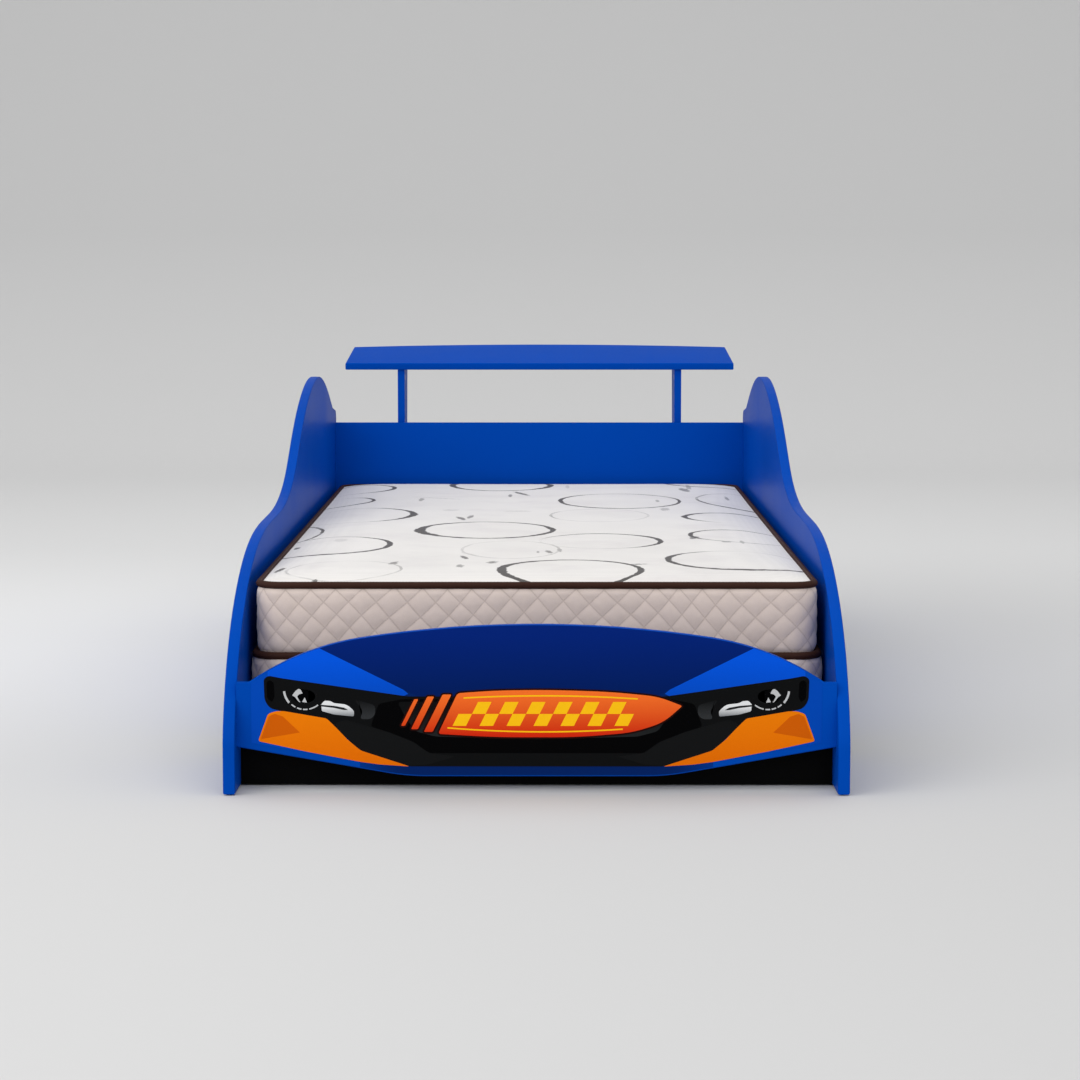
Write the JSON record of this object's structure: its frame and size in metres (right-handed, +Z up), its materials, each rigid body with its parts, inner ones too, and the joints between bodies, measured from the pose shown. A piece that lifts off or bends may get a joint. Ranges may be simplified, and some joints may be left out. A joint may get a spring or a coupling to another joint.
{
  "type": "car bed for children",
  "caption": "Single bed for a child with painted side panels cut to a car's outline, arched front panel, headboard with rear wing, slatted base and corded two-tier mattress.",
  "frame": {"origin": "on the floor, under the middle of the bed's overall length and width", "axes": "+X to the right seen from the foot end with the arched front panel, +Y from the front panel to the headboard, +Z up"},
  "size_m": [0.9268, 2.2299, 0.5951],
  "materials": {
    "blue_board": "satin blue paint on 18 and 15 mm board",
    "black_board": "satin black paint on 15 mm board",
    "pine": "planed bare pine",
    "beech": "fluted beech dowel",
    "print": "printed self-adhesive vinyl, satin",
    "wheel_print": "printed self-adhesive vinyl, satin",
    "steel": "zinc-plated steel",
    "zinc": "die-cast zinc",
    "glide": "moulded nylon",
    "ticking": "quilted border fabric over foam",
    "top_fabric": "printed knitted top over foam",
    "piping": "woven brown tape over cord",
    "webbing": "woven polyester tape"
  },
  "bodies": {
    "bed_frame": {"beam_hanger_front": "steel", "beam_hanger_rear": "steel", "cam_bolts": "steel", "cam_locks": "zinc", "centre_beam": "pine", "centre_leg_front": "pine", "centre_leg_rear": "pine", "floor_glides": "glide", "front_panel": "blue_board", "front_print": "print", "hanger_screws": "steel", "headboard_panel": "blue_board", "kick_board": "black_board", "leg_bolts": "steel", "mattress_stop": "pine", "rail_screws": "steel", "side_panel_left": "blue_board", "side_panel_right": "blue_board", "side_rail_left": "pine", "side_rail_right": "pine", "slat_01": "pine", "slat_02": "pine", "slat_03": "pine", "slat_04": "pine", "slat_05": "pine", "slat_06": "pine", "slat_07": "pine", "slat_08": "pine", "slat_09": "pine", "slat_10": "pine", "slat_11": "pine", "slat_12": "pine", "slat_screws": "steel", "slat_tape_left": "webbing", "slat_tape_right": "webbing", "spoiler_post_left": "blue_board", "spoiler_post_right": "blue_board", "spoiler_wing": "blue_board", "stop_screws": "steel", "wheel_print_front_left": "wheel_print", "wheel_print_front_right": "wheel_print", "wheel_print_rear_left": "wheel_print", "wheel_print_rear_right": "wheel_print", "wood_dowels": "beech"},
    "mattress": {"mattress_base": "ticking", "mattress_top": "top_fabric", "piping_lower": "piping", "piping_upper": "piping"}
  },
  "joints": [
    {"name": "mattress_lift", "type": "slide", "parent": "bed_frame", "child": "mattress", "axis": [0, 0, 1], "range_m": [0, 0.5]}
  ]
}
